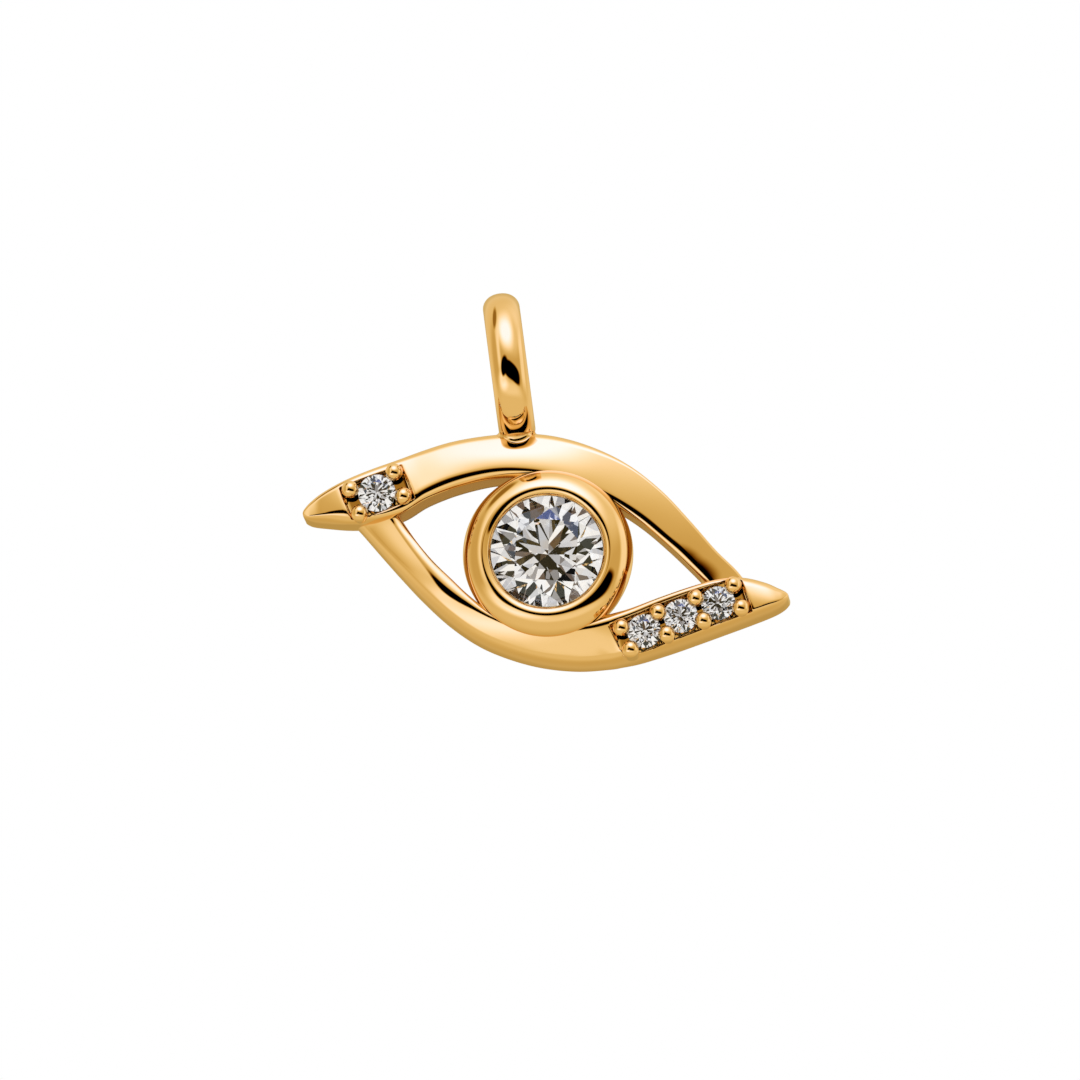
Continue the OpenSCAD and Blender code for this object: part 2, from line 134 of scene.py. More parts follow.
def row_at(rows, s):
    """One row of a table at s between its rows, on a smooth curve through all of them."""
    i = min(int(s), len(rows) - 2)
    t = s - i
    last = len(rows) - 1
    out = []
    for a, b, c, d in zip(rows[max(i - 1, 0)], rows[i], rows[i + 1], rows[min(i + 2, last)]):
        out.append(0.5 * (2 * b + (c - a) * t + (2 * a - 5 * b + 4 * c - d) * t * t
                          + (3 * b - 3 * c + d - a) * t ** 3))
    return out


def along_row(pairs, w):
    """Point and direction at length w along a row of bead pairs, straight on past its ends."""
    points = [Vector(p) for p in pairs]
    steps = [b - a for a, b in zip(points, points[1:])]
    angles = [math.atan2(v.y, v.x) for v in steps]
    i = 0
    while i < len(steps) - 1 and w > steps[i].length:
        w -= steps[i].length
        i += 1
    t = w / steps[i].length
    before = angles[max(i - 1, 0)]
    after = angles[min(i + 1, len(steps) - 1)]
    start = (before + angles[i]) / 2
    end = (angles[i] + after) / 2
    turn = start + (end - start) * min(max(t, 0.0), 1.0)
    return points[i] + steps[i] * t, Vector((math.cos(turn), math.sin(turn)))


def crossing(rows, column, lo, hi, point, direction):
    """Where the edge in a pair of columns crosses the line square to a direction at a point."""
    for _ in range(40):
        mid = (lo + hi) / 2
        row = row_at(rows, mid)
        if (Vector(row[column:column + 2]) - point).dot(direction) < 0:
            lo = mid
        else:
            hi = mid
    return (lo + hi) / 2


def lid_rulings(rows, pairs, search, steps_before, steps_after):
    """Lines across a lid, as (outer s, inner s, place in the channel, depth share)."""
    length = sum((Vector(b) - Vector(a)).length for a, b in zip(pairs, pairs[1:]))
    start = -CHANNEL_REACH
    end = length + CHANNEL_REACH
    places = [(start + way, share) for way, share in WALL_STEPS]
    inside = int((end - start) / RULING_GAP)
    for k in range(1, inside):
        places.append((start + WALL_END + (end - start - 2 * WALL_END) * k / inside, 1.0))
    places += [(end - way, share) for way, share in reversed(WALL_STEPS)]
    middle = []
    for w, share in places:
        point, direction = along_row(pairs, w)
        s_out = crossing(rows, 0, search[0], search[1], point, direction)
        s_in = crossing(rows, 2, search[0], search[1], point, direction)
        middle.append((s_out, s_in, w, share))
    last = len(rows) - 1
    first_out, first_in = middle[0][:2]
    end_out, end_in = middle[-1][:2]
    rulings = []
    for k in range(steps_before):
        t = k / steps_before
        rulings.append((first_out * t, first_in * t, None, 0.0))
    rulings += middle
    for k in range(1, steps_after + 1):
        t = k / steps_after
        rulings.append((end_out + (last - end_out) * t, end_in + (last - end_in) * t, None, 0.0))
    return rulings


def lid_front(width, outer, inner, set_back):
    """A function that gives the depth of a lid's front at a, the way across from its outer edge.

    Each edge is given as the width and depth of its rounding, and the lean of the face there.
    """
    outer_round, outer_deep, outer_slope = outer[0], outer[1], math.tan(math.radians(outer[2]))
    inner_round, inner_deep, inner_slope = inner[0], inner[1], math.tan(math.radians(inner[2]))
    outer_turn = math.atan(outer_slope * outer_round / outer_deep)
    inner_turn = math.atan(inner_slope * inner_round / inner_deep)
    start = outer_round * (1 - math.sin(outer_turn))
    across = width - inner_round * (1 + math.sin(inner_turn)) - start
    change = inner_slope - outer_slope
    outer_y = outer_deep * math.cos(outer_turn)
    inner_y = -across * (outer_slope + change / 2) + inner_deep * math.cos(inner_turn)
    if inner_slope > 0:
        crest = inner_y - inner_deep
    elif outer_slope < 0:
        crest = outer_y - outer_deep
    else:
        crest = across * outer_slope * outer_slope / change / 2
    shift = FACE_Y + set_back - crest

    def front(a):
        if a < start:
            way = (outer_round - a) / outer_round
            return shift + outer_y - outer_deep * math.sqrt(max(1 - way * way, 0))
        if a > start + across:
            way = (a - width + inner_round) / inner_round
            return shift + inner_y - inner_deep * math.sqrt(max(1 - way * way, 0))
        u = (a - start) / across
        return shift - across * (outer_slope * u + change * u * u / 2)

    return front


def lid_section(rows, pairs, ruling, sides):
    """Closed section across a lid, in millimetres, from the outer back corner round the face."""
    s_out, s_in, w, share = ruling
    row_out = row_at(rows, s_out)
    row_in = row_at(rows, s_in)
    outer = Vector(row_out[0:2])
    inner = Vector(row_in[2:4])
    width = (inner - outer).length
    across = (inner - outer) / width
    outer_roll = min(row_out[4], ROLL_SHARE * width)
    inner_roll = min(row_in[6], ROLL_SHARE * width)
    set_back = (row_out[8] + row_in[8]) / 2
    front = lid_front(width, (outer_roll, row_out[5], row_out[9]),
                      (inner_roll, row_in[7], row_in[10]), set_back)
    back = BACK_Y - SINK_SHARE * set_back

    # The channel's sides here, or where they would be, as shares of the width.
    if w is not None:
        point, _ = along_row(pairs, w)
        to_row = (point - outer).length
        near = max(to_row - CHANNEL_HALF, RAIL_LEAST) / width
        far = min(to_row + CHANNEL_HALF, width - RAIL_LEAST) / width
        sides = (near, far)
    near, far = sides[0] * width, sides[1] * width
    squeeze = min(1.0, width / FULL_WALL_WIDTH)
    corner = min(BACK_CORNER, BACK_CORNER_SHARE * width)
    out = [(corner, back), (0.3 * corner, back - 0.3 * corner), (0.0, back - corner)]
    out += [(0.0, back - corner + (front(0) - back + corner) * k / 4) for k in range(1, 4)]
    first_flat = near + WALL_STEPS[0][0] * squeeze
    arc_end = min(outer_roll, 0.9 * first_flat)
    for k in range(OUTER_STEPS + 1):
        lean = math.acos(1 - arc_end / outer_roll) * k / OUTER_STEPS
        a = outer_roll * (1 - math.cos(lean))
        out.append((a, front(a)))
    for k in range(1, 3):
        a = arc_end + (first_flat - arc_end) * k / 3
        out.append((a, front(a)))
    for way, deep in WALL_STEPS:
        a = near + way * squeeze
        out.append((a, front(a) + (CHANNEL_FLOOR_Y - front(a)) * deep * share))
    inside = WALL_END * squeeze
    for k in range(1, 12):
        a = near + inside + (far - near - 2 * inside) * k / 12
        out.append((a, front(a) + (CHANNEL_FLOOR_Y - front(a)) * share))
    for way, deep in reversed(WALL_STEPS):
        a = far - way * squeeze
        out.append((a, front(a) + (CHANNEL_FLOOR_Y - front(a)) * deep * share))
    last_flat = far - WALL_STEPS[0][0] * squeeze
    arc_start = min(inner_roll, 0.9 * (width - last_flat))
    for k in range(1, 6):
        a = last_flat + (width - arc_start - last_flat) * k / 6
        out.append((a, front(a)))
    for k in range(INNER_STEPS, -1, -1):
        lean = math.acos(1 - arc_start / inner_roll) * k / INNER_STEPS
        a = width - inner_roll * (1 - math.cos(lean))
        out.append((a, front(a)))
    top = front(width)
    out += [(width, top + (back - corner - top) * k / 4) for k in range(1, 4)]
    out += [(width, back - corner), (width - 0.3 * corner, back - 0.3 * corner),
            (width - corner, back)]
    out += [(width - corner - (width - 2 * corner) * k / 4, back) for k in range(1, 4)]
    ring = []
    for a, y in out:
        place = outer + across * a
        for x, z, radius, bottom in SEATS:
            far_out = (place - Vector((x, z))).length / radius
            if far_out < 1 and y < 0:
                y = max(y, bottom + (SEAT_RIM_Y - bottom) * far_out)
        ring.append((EYE_CENTRE[0] + place.x, y, EYE_CENTRE[1] + place.y))
    return ring, sides


def metal_in_scene(name, mesh):
    """An object in the scene for a mesh of metal, smooth but for its sharp corners."""
    mesh.shade_smooth()
    mesh.set_sharp_from_angle(angle=math.radians(SHARP_FROM))
    obj = bpy.data.objects.new(name, mesh)
    bpy.context.scene.collection.objects.link(obj)
    return obj


def metal_object(name, rings, material):
    """A closed piece of metal from rings of points in millimetres, with both ends capped."""
    bm = bmesh.new()
    rows = [[bm.verts.new([c * MM for c in p]) for p in ring] for ring in rings]
    count = len(rows[0])
    for a, b in zip(rows, rows[1:]):
        for j in range(count):
            k = (j + 1) % count
            bm.faces.new((a[j], a[k], b[k], b[j]))
    bm.faces.new(list(reversed(rows[0])))
    bm.faces.new(rows[-1])
    bmesh.ops.remove_doubles(bm, verts=bm.verts, dist=1e-7)
    bmesh.ops.dissolve_degenerate(bm, edges=bm.edges, dist=1e-8)
    bmesh.ops.recalc_face_normals(bm, faces=bm.faces)
    mesh = bpy.data.meshes.new(name)
    bm.to_mesh(mesh)
    bm.free()
    mesh.materials.append(material)
    return metal_in_scene(name, mesh)


class Wire:
    """An output in a node tree that works in Python expressions and adds the nodes for them."""

    def __init__(self, tree, socket=None):
        self.tree = tree
        self.socket = socket

    def node(self, kind, settings=None, sockets=None, out=0):
        """Adds a node of a type, with its settings first, and gives one of its outputs."""
        node = self.tree.nodes.new(kind)
        for key, value in (settings or {}).items():
            if key == "stops":
                while len(node.color_ramp.elements) < len(value):
                    node.color_ramp.elements.new(1.0)
                for element, (place, colour) in zip(node.color_ramp.elements, value):
                    element.position = place
                    element.color = colour
            else:
                setattr(node, key, value)
        for key, value in (sockets or {}).items():
            if isinstance(value, Wire):
                self.tree.links.new(value.socket, node.inputs[key])
            else:
                node.inputs[key].default_value = value
        return Wire(self.tree, node.outputs[out] if len(node.outputs) else None)

    def maths(self, operation, *values):
        return self.node("ShaderNodeMath", {"operation": operation}, dict(enumerate(values)))

    def vector(self, operation, *values):
        """Vector Math on these values, with its number as the result of a dot product."""
        return self.node("ShaderNodeVectorMath", {"operation": operation},
                         dict(enumerate(values)), 1 if operation == "DOT_PRODUCT" else 0)

    def __add__(self, other):
        return self.maths("ADD", self, other)

    def __radd__(self, other):
        return self.maths("ADD", other, self)

    def __sub__(self, other):
        return self.maths("SUBTRACT", self, other)

    def __rsub__(self, other):
        return self.maths("SUBTRACT", other, self)

    def __mul__(self, other):
        return self.maths("MULTIPLY", self, other)

    def __rmul__(self, other):
        return self.maths("MULTIPLY", other, self)

    def __pow__(self, other):
        return self.maths("POWER", self, other)

    def step_up(self, low, high):
        """0 below low and 1 above high, with a soft slope between."""
        return self.node("ShaderNodeMapRange", {"interpolation_type": "SMOOTHSTEP"},
                         {0: self, 1: low, 2: high})

    def blend(self, first, second):
        """The first colour where this is 0 and the second where it is 1."""
        return self.node("ShaderNodeMix", {"data_type": "RGBA"}, {0: self, 6: first, 7: second}, 2)


# The gold's colour where it is lightest and deepest, and the painted shade on the openings' walls.
GOLD_LIGHT = (0.87, 0.62, 0.30, 1)
GOLD_DEEP = (0.85, 0.595, 0.28, 1)
# Painted shade: the darker colour given to the walls of the eye's openings.
GOLD_PAINTED_SHADE = (0.50, 0.25, 0.05, 1)


def polished_gold():
    material = bpy.data.materials.new("polished yellow gold")
    material.use_nodes = True
    tree = material.node_tree
    tree.nodes.clear()
    paint = Wire(tree)
    place = paint.node("ShaderNodeTexCoord", out=3)
    cloud = paint.node("ShaderNodeTexNoise", {}, {"Vector": place, "Scale": 180.0, "Detail": 2.0})
    scuff = paint.node("ShaderNodeTexNoise", {}, {"Vector": place, "Scale": 2600.0, "Detail": 3.0})
    inside = paint.node("ShaderNodeAttribute", {"attribute_name": "inside"}, out=2)
    relief = paint.node("ShaderNodeBump", {}, {"Strength": 0.02, "Distance": 0.00001,
                                               "Height": scuff})
    polished = cloud.step_up(0.3, 0.7).blend(GOLD_LIGHT, GOLD_DEEP)
    # On the openings' walls the colour is painted darker as painted shade, and the gold is rougher.
    shader = paint.node("ShaderNodeBsdfPrincipled", {}, {
        "Base Color": inside.blend(polished, GOLD_PAINTED_SHADE),
        "Metallic": 1.0,
        "Roughness": scuff * 0.025 + 0.01 + inside * 0.2,
        "Normal": relief,
    })
    paint.node("ShaderNodeOutputMaterial", {}, {"Surface": shader})
    return material


gold = polished_gold()

for name, rows, pairs, search, before, after in (
        ("upper_lid", UPPER_LID, LEFT_BEAD_PAIRS, (1.0, 9.0), 30, 150),
        ("lower_lid", LOWER_LID, RIGHT_BEAD_PAIRS, (9.0, 19.5), 140, 30)):
    rulings = lid_rulings(rows, pairs, search, before, after)
    in_channel = next(ruling for ruling in rulings if ruling[2] is not None)
    sides = lid_section(rows, pairs, in_channel, None)[1]
    rings = []
    for ruling in rulings:
        ring, sides = lid_section(rows, pairs, ruling, sides)
        rings.append(ring)
    lid = metal_object(name, rings, gold)
    # Faces of the openings' walls, which the gold paints darker as painted shade and makes rougher.
    inside = lid.data.attributes.new("inside", "FLOAT", "FACE")
    for face in lid.data.polygons:
        place = Vector((face.center.x / MM - EYE_CENTRE[0], face.center.z / MM - EYE_CENTRE[1]))
        if (abs(place.x) < INSIDE_HALF and abs(face.normal.y) < INSIDE_TILT
                and place.dot(Vector((face.normal.x, face.normal.z))) < 0):
            inside.data[face.index].value = 1.0
    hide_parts("eye_frame")
    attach(lid, "root")

# The bezel. A turned cup of the same gold that holds the centre stone: its rim has a round nose
# pressed over the stone's edge, and falls away outside it in two arcs. The back is open.

CREST_RADIUS = 2.42
CREST_Y = -1.66
NOSE_ROUND = 0.3
NOSE_START = -82
SHOULDER_ROUND = 1.15
SHOULDER_START = 20
SHOULDER_END = 41
BEZEL_RADIUS = 3.23
BACK_HOLE_RADIUS = 1.5
RING_STEPS = 256
# The cup behind the rim as (radius, depth): from the back hole up the stone's seat to the nose.
CUP_INSIDE = [(BACK_HOLE_RADIUS, 0.9), (BACK_HOLE_RADIUS, 0.2), (BACK_HOLE_RADIUS, -0.22),
              (2.235, -0.98), (2.235, -1.14), (2.16, -1.21)]
CUP_OUTSIDE = [(3.19, -0.3), (3.12, 0.2), (3.03, 0.86), (2.98, 0.96), (2.88, 1.0), (2.2, 1.0),
               (1.6, 1.0)]
# Rings are swept along a circle of this radius, and their outlines are drawn from it.
PATH_RADIUS = 1.0


def rim_arc(centre, radius, start, end, steps):
    """Points on an arc of the rim, from one steepness to another in degrees."""
    points = []
    for k in range(steps + 1):
        a = math.radians(start + (end - start) * k / steps)
        points.append((centre[0] + radius * math.sin(a), centre[1] - radius * math.cos(a)))
    return points


def rim_facing(steepness):
    """Where the rim faces, as (outwards, depth), at a steepness in degrees."""
    a = math.radians(steepness)
    return Vector((math.sin(a), -math.cos(a)))


def bezel_outline():
    """Closed section of the bezel as (radius, depth), from the back hole round the front."""
    nose = Vector((CREST_RADIUS, CREST_Y + NOSE_ROUND))
    points = CUP_INSIDE + rim_arc(nose, NOSE_ROUND, NOSE_START, SHOULDER_START, 26)
    turn = rim_facing(SHOULDER_START)
    shoulder = nose + (NOSE_ROUND - SHOULDER_ROUND) * turn
    points += rim_arc(shoulder, SHOULDER_ROUND, SHOULDER_START, SHOULDER_END, 10)[1:]
    turn = rim_facing(SHOULDER_END)
    flank_round = (BEZEL_RADIUS - shoulder.x - SHOULDER_ROUND * turn.x) / (1 - turn.x)
    flank = shoulder + (SHOULDER_ROUND - flank_round) * turn
    points += rim_arc(flank, flank_round, SHOULDER_END, 90, 16)[1:]
    return points + CUP_OUTSIDE


def swept_ring(name, outline, turn, centre, material):
    """A ring of a closed outline of (radius, way along the axis), swept by nodes."""
    mesh = bpy.data.meshes.new(name + " outline")
    count = len(outline)
    mesh.from_pydata([((r - PATH_RADIUS) * MM, y * MM, 0) for r, y in outline],
                     [(k, (k + 1) % count) for k in range(count)], [])
    seed = bpy.data.objects.new(name + " outline", mesh)
    bpy.context.scene.collection.objects.link(seed)
    tree = bpy.data.node_groups.new(name + " sweep", "GeometryNodeTree")
    tree.interface.new_socket("Geometry", in_out="INPUT", socket_type="NodeSocketGeometry")
    steps = tree.interface.new_socket("Steps round the ring", in_out="INPUT",
                                      socket_type="NodeSocketInt")
    tree.interface.new_socket("Geometry", in_out="OUTPUT", socket_type="NodeSocketGeometry")
    work = Wire(tree)
    given = tree.nodes.new("NodeGroupInput")
    profile = work.node("GeometryNodeMeshToCurve", {}, {0: Wire(tree, given.outputs[0])})
    path = work.node("GeometryNodeCurvePrimitiveCircle", {"mode": "RADIUS"},
                     {0: Wire(tree, given.outputs[1]), 4: PATH_RADIUS * MM})
    body = work.node("GeometryNodeCurveToMesh", {}, {0: path, "Profile Curve": profile})
    placed = work.node("GeometryNodeRealizeInstances", {}, {0: body})
    dressed = work.node("GeometryNodeSetMaterial", {}, {0: placed, "Material": material})
    done = tree.nodes.new("NodeGroupOutput")
    tree.links.new(dressed.socket, done.inputs[0])
    modifier = seed.modifiers.new("sweep", "NODES")
    modifier.node_group = tree
    modifier[steps.identifier] = RING_STEPS
    made = bpy.data.meshes.new_from_object(
        seed.evaluated_get(bpy.context.evaluated_depsgraph_get()))
    bpy.data.objects.remove(seed)
    made.transform(turn)
    made.transform(Matrix.Translation([c * MM for c in centre]))
    bm = bmesh.new()
    bm.from_mesh(made)
    bmesh.ops.remove_doubles(bm, verts=bm.verts, dist=1e-7)
    bmesh.ops.recalc_face_normals(bm, faces=bm.faces)
    bm.to_mesh(made)
    bm.free()
    return metal_in_scene(name, made)


bezel = swept_ring("bezel", bezel_outline(), Matrix.Rotation(math.radians(90), 4, "X"),
                   (EYE_CENTRE[0], 0.0, EYE_CENTRE[1]), gold)
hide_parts("eye_frame")
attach(bezel, "root")

# The bail. A ring of thick round gold wire, set square to the eye so that it is seen from its
# edge, and soldered to the top of the upper lid.

BAIL_RADIUS = 2.95
BAIL_BORE = 1.8
BAIL_HALF_WIDTH = 0.7
BAIL_TURN = 2.5
# The ring's lower half is a little flattened, where it stands on the lid.
BAIL_LOWER_SHARE = 0.95
WIRE_STEPS = 72
# Powers of a rounder or squarer oval: under 1 the wire is flatter to the hole and at its sides.
WIRE_INWARD_POWER = 0.72
WIRE_SIDE_POWER = 0.92


def bail_outline():
    """Section of the bail's wire: full and round outwards, flatter towards the hole."""
    middle = (BAIL_RADIUS + BAIL_BORE) / 2
    half = (BAIL_RADIUS - BAIL_BORE) / 2
    points = []
    for k in range(WIRE_STEPS):
        a = 2 * math.pi * k / WIRE_STEPS
        out = math.cos(a)
        side = math.sin(a)
        power = 1.0 if out > 0 else WIRE_INWARD_POWER
        points.append((middle + half * math.copysign(abs(out) ** power, out),
                       BAIL_HALF_WIDTH * math.copysign(abs(side) ** WIRE_SIDE_POWER, side)))
    return points


bail = swept_ring("bail", bail_outline(), Matrix.Rotation(math.radians(90), 4, "Y"),
                  (0.0, 0.0, -BAIL_BORE), gold)
for corner in bail.data.vertices:
    if corner.co.z < -BAIL_BORE * MM:
        corner.co.z = BAIL_LOWER_SHARE * (corner.co.z + BAIL_BORE * MM) - BAIL_BORE * MM
bail.data.transform(Matrix.Rotation(math.radians(BAIL_TURN), 4, "Z"))
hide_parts("eye_frame")
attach(bail, "root")

# The solder. Gold solder has run into the corners round the bail's foot, where its surface is
# hollow: a crescent in front on the lid's face, and a fillet along each side of the ring.

SOLDER_FRONT_ROUND = 0.26
SOLDER_SIDE_ROUND = 0.22
SOLDER_REACH = 0.6
SOLDER_BITE = 0.012
SOLDER_WALL = 0.67
SOLDER_FRONT_Y = -0.6
SOLDER_LENGTH = 1.5
SOLDER_TAPER = 0.4
# The bail stands at this place in the upper lid's table, whose rows lie this far apart there.
FOOT_S = 9.78
FOOT_ROW_STEP = 1.3
# The flattened ring is nearly a circle there. Its centre lies this much higher than the round
# ring's, and its radius is larger by a third of that.
FLATTER_BY = 0.23


def hollow_arc(centre, radius, start, end, steps):
    """Points on an arc about a centre, from the direction of one point to that of another."""
    first = math.atan2(start[1] - centre[1], start[0] - centre[0])
    turn = math.atan2(end[1] - centre[1], end[0] - centre[0]) - first
    turn = (turn + math.pi) % (2 * math.pi) - math.pi
    return [(centre[0] + radius * math.cos(first + turn * k / steps),
             centre[1] + radius * math.sin(first + turn * k / steps)) for k in range(steps + 1)]


def lid_at_foot(x):
    """The upper lid's front below the bail as a function of the way across, and its top edge."""
    row = row_at(UPPER_LID, FOOT_S + x / FOOT_ROW_STEP)
    width = math.hypot(row[2] - row[0], row[3] - row[1])
    front = lid_front(width, (row[4], row[5], row[9]), (row[6], row[7], row[10]), row[8])
    return front, EYE_CENTRE[1] + row[1]


def front_solder():
    """Sections of the solder in front of the ring, from its left end to its right one."""
    rings = []
    middle = (BAIL_RADIUS + BAIL_BORE) / 2
    ring_centre = Vector((0, -BAIL_BORE + FLATTER_BY))
    for k in range(1, 32):
        x = SOLDER_REACH * math.cos(math.pi * (1 - k / 32))
        radius = SOLDER_FRONT_ROUND * math.sqrt(1 - (x / SOLDER_REACH) ** 2) + SOLDER_BITE
        gap = radius - SOLDER_BITE
        ring_out = (middle + (BAIL_RADIUS - middle) * math.sqrt(1 - (x / BAIL_HALF_WIDTH) ** 2)
                    + FLATTER_BY / 3)
        front, top = lid_at_foot(x)
        lo, hi = 0.02, 1.2
        for _ in range(40):
            a = (lo + hi) / 2
            slope = (front(a + 0.005) - front(a - 0.005)) / 0.01
            foot = Vector((front(a), top - a))
            outward = Vector((-1, -slope)).normalized()
            centre = foot + outward * gap
            if (centre - ring_centre).length < ring_out + gap:
                lo = a
            else:
                hi = a
        touch = ring_centre + (centre - ring_centre).normalized() * ring_out
        arc = hollow_arc(centre, radius, touch, foot, 14)
        rings.append([(x, y, z) for y, z in arc]
                     + [(x, foot.x + 0.1, foot.y), (x, touch.x + 0.1, touch.y + 0.1)])
    return rings


def side_solder(side):
    """Sections of the solder along one side of the ring, from the front of the lid to its back."""
    rings = []
    for k in range(25):
        y = SOLDER_FRONT_Y + SOLDER_LENGTH * k / 24
        radius = SOLDER_SIDE_ROUND * min(1.0, 0.3 + 0.7 * (y - SOLDER_FRONT_Y) / SOLDER_TAPER)
        wall = side * SOLDER_WALL
        toe = wall + side * radius
        front, top = lid_at_foot(toe)
        drop = 0.0
        while front(drop) > y and drop < 0.6:
            drop += 0.01
        level = top - drop
        arc = hollow_arc((toe, level + radius), radius + SOLDER_BITE, (wall, level + radius),
                         (toe, level), 10)
        rings.append([(x, y, z) for x, z in arc]
                     + [(toe, y, level - 0.1), (wall - side * 0.1, y, level - 0.1),
                        (wall - side * 0.1, y, level + radius)])
    return rings


for name, rings in (("front_solder", front_solder()), ("left_solder", side_solder(-1)),
                    ("right_solder", side_solder(1))):
    solder = metal_object(name, rings, gold)
    solder.data.transform(Matrix.Rotation(math.radians(BAIL_TURN), 4, "Z"))
    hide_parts("eye_frame")
    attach(solder, "root")

# The beads. Small grains of gold raised from the channels' floors and pushed over the edges of
# the small stones, one pair between two stones and one at each end of a row.

BEAD_RADIUS = 0.33
BEAD_Y = -1.03
BEAD_ROOT_Y = -0.2
LEFT_BEAD_OFFSET = 0.49
RIGHT_BEAD_OFFSET = 0.45


def bead_places():
    """Centres of the beads' round tops, a pair for each place along a row of stones."""
    places = []
    for pairs, offset in ((LEFT_BEAD_PAIRS, LEFT_BEAD_OFFSET), (RIGHT_BEAD_PAIRS, RIGHT_BEAD_OFFSET)):
        w = 0.0
        for i, pair in enumerate(pairs):
            if i:
                w += (Vector(pair) - Vector(pairs[i - 1])).length
            _, direction = along_row(pairs, w)
            across = Vector((-direction.y, direction.x))
            for side in (-1, 1):
                spot = Vector(pair) + across * offset * side
                places.append((EYE_CENTRE[0] + spot.x, BEAD_Y, EYE_CENTRE[1] + spot.y))
    return places


def beads_object():
    """Posts with round tops, one at each bead's place, instanced by nodes."""
    places = bead_places()
    mesh = bpy.data.meshes.new("bead places")
    mesh.from_pydata([[c * MM for c in p] for p in places], [], [])
    seed = bpy.data.objects.new("bead places", mesh)
    bpy.context.scene.collection.objects.link(seed)
    tree = bpy.data.node_groups.new("bead setting", "GeometryNodeTree")
    tree.interface.new_socket("Geometry", in_out="INPUT", socket_type="NodeSocketGeometry")
    radius = tree.interface.new_socket("Bead radius", in_out="INPUT", socket_type="NodeSocketFloat")
    length = tree.interface.new_socket("Post length", in_out="INPUT", socket_type="NodeSocketFloat")
    tree.interface.new_socket("Geometry", in_out="OUTPUT", socket_type="NodeSocketGeometry")
    work = Wire(tree)
    given = tree.nodes.new("NodeGroupInput")
    size = Wire(tree, given.outputs[1])
    deep = Wire(tree, given.outputs[2])
    ball = work.node("GeometryNodeMeshUVSphere", {}, {"Segments": 48, "Rings": 24, "Radius": size})
    post = work.node("GeometryNodeMeshCylinder", {"fill_type": "NGON"},
                     {"Vertices": 48, "Radius": size, "Depth": deep})
    low = work.node("ShaderNodeCombineXYZ", {}, {"Z": deep * -0.5})
    post = work.node("GeometryNodeTransform", {}, {"Geometry": post, "Translation": low})
    both = tree.nodes.new("GeometryNodeJoinGeometry")
    tree.links.new(ball.socket, both.inputs[0])
    tree.links.new(post.socket, both.inputs[0])
    lean = work.node("GeometryNodeTransform", {},
                     {"Geometry": Wire(tree, both.outputs[0]), "Rotation": (math.radians(90), 0, 0)})
    grains = work.node("GeometryNodeInstanceOnPoints", {},
                       {"Points": Wire(tree, given.outputs[0]), "Instance": lean})
    real = work.node("GeometryNodeRealizeInstances", {}, {0: grains})
    dressed = work.node("GeometryNodeSetMaterial", {}, {0: real, "Material": gold})
    done = tree.nodes.new("NodeGroupOutput")
    tree.links.new(dressed.socket, done.inputs[0])
    modifier = seed.modifiers.new("beads", "NODES")
    modifier.node_group = tree
    modifier[radius.identifier] = BEAD_RADIUS * MM
    modifier[length.identifier] = (BEAD_ROOT_Y - BEAD_Y) * MM
    made = bpy.data.meshes.new_from_object(
        seed.evaluated_get(bpy.context.evaluated_depsgraph_get()))
    bpy.data.objects.remove(seed)
    return metal_in_scene("beads", made)


beads = beads_object()
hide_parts("eye_frame")
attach(beads, "root")

# The stones. Five round brilliants, one in the bezel and four under the beads, each cut with a
# table, eight mains, stars and halves above the girdle and mains and halves below it.

TABLE_SHARE = 0.57
CROWN_SHARE = 0.15
GIRDLE_SHARE = 0.03
PAVILION_SHARE = 0.43
STAR_SHARE = 0.37
LOWER_HALF_SHARE = 0.12
MAINS = 8


def facet_planes(r):
    """The planes of a brilliant's facets, as (point, outward direction), table towards +Z."""
    d = 2 * r
    half = math.pi / MAINS
    table_r = TABLE_SHARE * r
    crown = CROWN_SHARE * d
    girdle = GIRDLE_SHARE * d
    pavilion = PAVILION_SHARE * d
    star_r = (TABLE_SHARE + STAR_SHARE * (1 - TABLE_SHARE)) * r
    star_h = crown * (1 - (star_r * math.cos(half) - table_r) / (r - table_r))
    low_r = LOWER_HALF_SHARE * d
    low_h = -girdle - pavilion * (1 - low_r * math.cos(half) / r)

    def at(radius, angle, height):
        return Vector((radius * math.cos(angle), radius * math.sin(angle), height))

    planes = [(at(0, 0, crown), Vector((0, 0, 1)))]
    for i in range(MAINS):
        a = 2 * half * i
        corners = [
            (at(table_r, a, crown), at(r, a, 0), at(r, a, 0) + at(1, a + math.pi / 2, 0)),
            (at(table_r, a, crown), at(table_r, a + 2 * half, crown), at(star_r, a + half, star_h)),
            (at(star_r, a + half, star_h), at(r, a, 0), at(r, a + half, 0)),
            (at(star_r, a + half, star_h), at(r, a + half, 0), at(r, a + 2 * half, 0)),
            (at(0, 0, -girdle - pavilion), at(r, a, -girdle),
             at(r, a, -girdle) + at(1, a + math.pi / 2, 0)),
            (at(low_r, a + half, low_h), at(r, a, -girdle), at(r, a + half, -girdle)),
            (at(low_r, a + half, low_h), at(r, a + half, -girdle), at(r, a + 2 * half, -girdle)),
        ]
        for p, q, s in corners:
            normal = (q - p).cross(s - p).normalized()
            if normal.dot(p - Vector((0, 0, -girdle))) < 0:
                normal = -normal
            planes.append((p, normal))
    return planes


